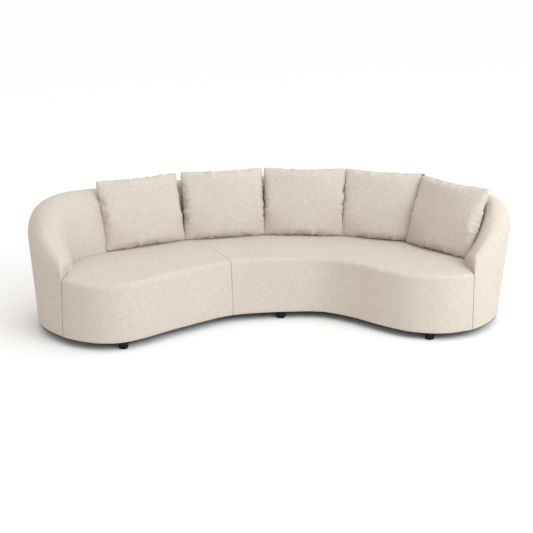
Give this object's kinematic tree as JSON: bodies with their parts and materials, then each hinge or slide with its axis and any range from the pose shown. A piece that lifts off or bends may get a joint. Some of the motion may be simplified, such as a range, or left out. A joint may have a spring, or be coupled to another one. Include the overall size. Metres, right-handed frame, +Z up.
{
  "type": "sofa",
  "caption": "Curved sofa: a rounded back wraps down into low arm ends around a kidney-shaped seat, with loose square cushions and short round black feet.",
  "frame": {"origin": "on the floor, under the middle of the sofa's width and depth", "axes": "+X along the length, to the right as the sofa is seen from its front; +Y towards the back; +Z up"},
  "size_m": [3.126, 1.4506, 0.8871],
  "materials": {
    "woven_cover": "matte woven chenille, cream",
    "foam": "open-cell foam with wadding",
    "plywood": "raw plywood",
    "black_cloth": "black non-woven cloth",
    "webbing": "elastic webbing",
    "black_wood": "black stained, satin",
    "zinc_steel": "zinc plated",
    "fibre": "fibre filling in a thin case",
    "zip": "nylon tape and teeth"
  },
  "bodies": {
    "sofa_body": {"back_cover_left": "woven_cover", "back_cover_right": "woven_cover", "seat_cover_left": "woven_cover", "seat_cover_right": "woven_cover", "back_foam": "foam", "seat_foam": "foam", "front_panel": "plywood", "front_rail": "plywood", "rear_rail": "plywood", "back_skin_outer": "plywood", "back_skin_inner": "plywood", "top_rail": "plywood", "back_former_1": "plywood", "back_former_2": "plywood", "back_former_3": "plywood", "back_former_4": "plywood", "back_former_5": "plywood", "back_former_6": "plywood", "back_former_7": "plywood", "back_former_8": "plywood", "back_former_9": "plywood", "seat_former_1": "plywood", "seat_former_2": "plywood", "seat_former_3": "plywood", "seat_former_4": "plywood", "seat_former_5": "plywood", "base_board": "plywood", "dust_cover": "black_cloth", "seat_webbing": "webbing", "foot_1": "black_wood", "foot_2": "black_wood", "foot_3": "black_wood", "foot_4": "black_wood", "foot_5": "black_wood", "foot_6": "black_wood", "foot_7": "black_wood", "foot_bolt_1": "zinc_steel", "foot_bolt_2": "zinc_steel", "foot_bolt_3": "zinc_steel", "foot_bolt_4": "zinc_steel", "foot_bolt_5": "zinc_steel", "foot_bolt_6": "zinc_steel", "foot_bolt_7": "zinc_steel"},
    "loose_cushion_1": {"cushion_cover_1": "woven_cover", "cushion_pad_1": "fibre", "cushion_zip_1": "zip"},
    "loose_cushion_2": {"cushion_cover_2": "woven_cover", "cushion_pad_2": "fibre", "cushion_zip_2": "zip"},
    "loose_cushion_3": {"cushion_cover_3": "woven_cover", "cushion_pad_3": "fibre", "cushion_zip_3": "zip"},
    "loose_cushion_4": {"cushion_cover_4": "woven_cover", "cushion_pad_4": "fibre", "cushion_zip_4": "zip"},
    "loose_cushion_5": {"cushion_cover_5": "woven_cover", "cushion_pad_5": "fibre", "cushion_zip_5": "zip"}
  },
  "joints": [
    {"name": "lift_off_cushion_1", "type": "slide", "parent": "sofa_body", "child": "loose_cushion_1", "axis": [-0.0409, 0.077, 0.9962], "range_m": [0, 0.4]},
    {"name": "lift_off_cushion_2", "type": "slide", "parent": "sofa_body", "child": "loose_cushion_2", "axis": [-0.042, 0.1685, 0.9848], "range_m": [0, 0.4]},
    {"name": "lift_off_cushion_3", "type": "slide", "parent": "sofa_body", "child": "loose_cushion_3", "axis": [0, 0.1736, 0.9848], "range_m": [0, 0.4]},
    {"name": "lift_off_cushion_4", "type": "slide", "parent": "sofa_body", "child": "loose_cushion_4", "axis": [-0.1116, 0.133, 0.9848], "range_m": [0, 0.4]},
    {"name": "lift_off_cushion_5", "type": "slide", "parent": "sofa_body", "child": "loose_cushion_5", "axis": [0, 0.0872, 0.9962], "range_m": [0, 0.4]}
  ]
}
